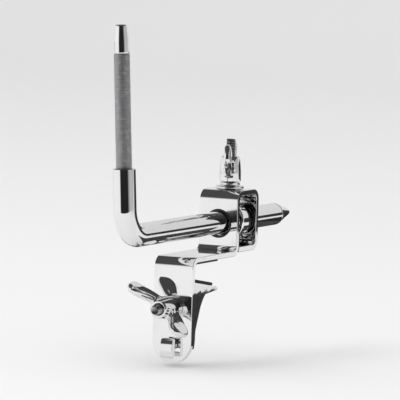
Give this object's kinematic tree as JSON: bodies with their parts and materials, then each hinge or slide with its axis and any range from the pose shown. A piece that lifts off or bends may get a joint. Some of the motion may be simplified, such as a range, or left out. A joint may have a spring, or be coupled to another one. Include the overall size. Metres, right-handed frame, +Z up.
{
  "type": "bass drum cowbell holder",
  "caption": "Chromed clamp that hooks onto a bass drum's hoop and carries an L-shaped rod with a knurled post for a cowbell.",
  "frame": {"origin": "middle of the rubber seat that rests on top of the drum's hoop", "axes": "+Y back over the drum, along the rod; -Y the player's side; +Z up; +X to the right"},
  "size_m": [0.0406, 0.2315, 0.207],
  "materials": {
    "bracket": "mirror chrome plate",
    "casting": "chrome plate on cast zinc",
    "rod": "mirror chrome plate",
    "knurl": "fine diamond knurl, satin",
    "fastener": "bright plated steel",
    "thread": "zinc-plated thread",
    "rubber": "matte black rubber",
    "nylon": "black nylon"
  },
  "bodies": {
    "bracket": {"clamp_bracket": "bracket", "hoop_pad": "rubber", "clamp_washer": "fastener", "flat_washer": "fastener", "lock_washer": "thread", "front_hole_liner": "nylon", "back_hole_liner": "nylon"},
    "clamp_screw": {"clamp_wing": "casting", "clamp_stud": "thread", "stud_ring": "thread"},
    "clamp_nut": {"claw_nut": "thread"},
    "claw": {"claw": "casting", "claw_pad": "rubber"},
    "eyebolt": {"eyebolt": "fastener"},
    "wing_nut": {"wing_nut": "casting"},
    "sleeve": {"eye_sleeve": "nylon"},
    "rod": {"l_rod": "rod", "knurled_post": "knurl", "rod_nose": "rod"}
  },
  "joints": [
    {"name": "clamp_screw_turn", "type": "hinge", "parent": "bracket", "child": "clamp_screw", "pos_m": [0, -0.028, -0.0257], "axis": [0, 1, 0], "range_deg": [0, 1995]},
    {"name": "clamp_nut_travel", "type": "slide", "parent": "bracket", "child": "clamp_nut", "axis": [0, 1, 0], "range_m": [0, 0.00574]},
    {"name": "claw_swing", "type": "hinge", "parent": "bracket", "child": "claw", "pos_m": [0, -0.0196, -0.05], "axis": [-1, 0, 0], "range_deg": [0, 12.2]},
    {"name": "wing_nut_turn", "type": "hinge", "parent": "bracket", "child": "wing_nut", "pos_m": [0, 0.0535, 0.05], "axis": [0, 0, 1], "range_deg": [0, 360.5]},
    {"name": "eyebolt_sink", "type": "slide", "parent": "bracket", "child": "eyebolt", "axis": [0, 0, -1], "range_m": [0, 0.001]},
    {"name": "rod_turn", "type": "hinge", "parent": "eyebolt", "child": "sleeve", "pos_m": [0, 0.0535, 0.0212], "axis": [0, 1, 0], "range_deg": [-90, 90]},
    {"name": "rod_slide", "type": "slide", "parent": "sleeve", "child": "rod", "axis": [0, 1, 0], "range_m": [-0.045, 0.09]}
  ],
  "couplings": [
    {"joint": "clamp_nut_travel", "follows": "clamp_screw_turn", "m_per_rad": 0.00015918},
    {"joint": "claw_swing", "follows": "clamp_screw_turn", "ratio": 0.006015},
    {"joint": "wing_nut_turn", "follows": "eyebolt_sink", "rad_per_m": 6283.2}
  ]
}
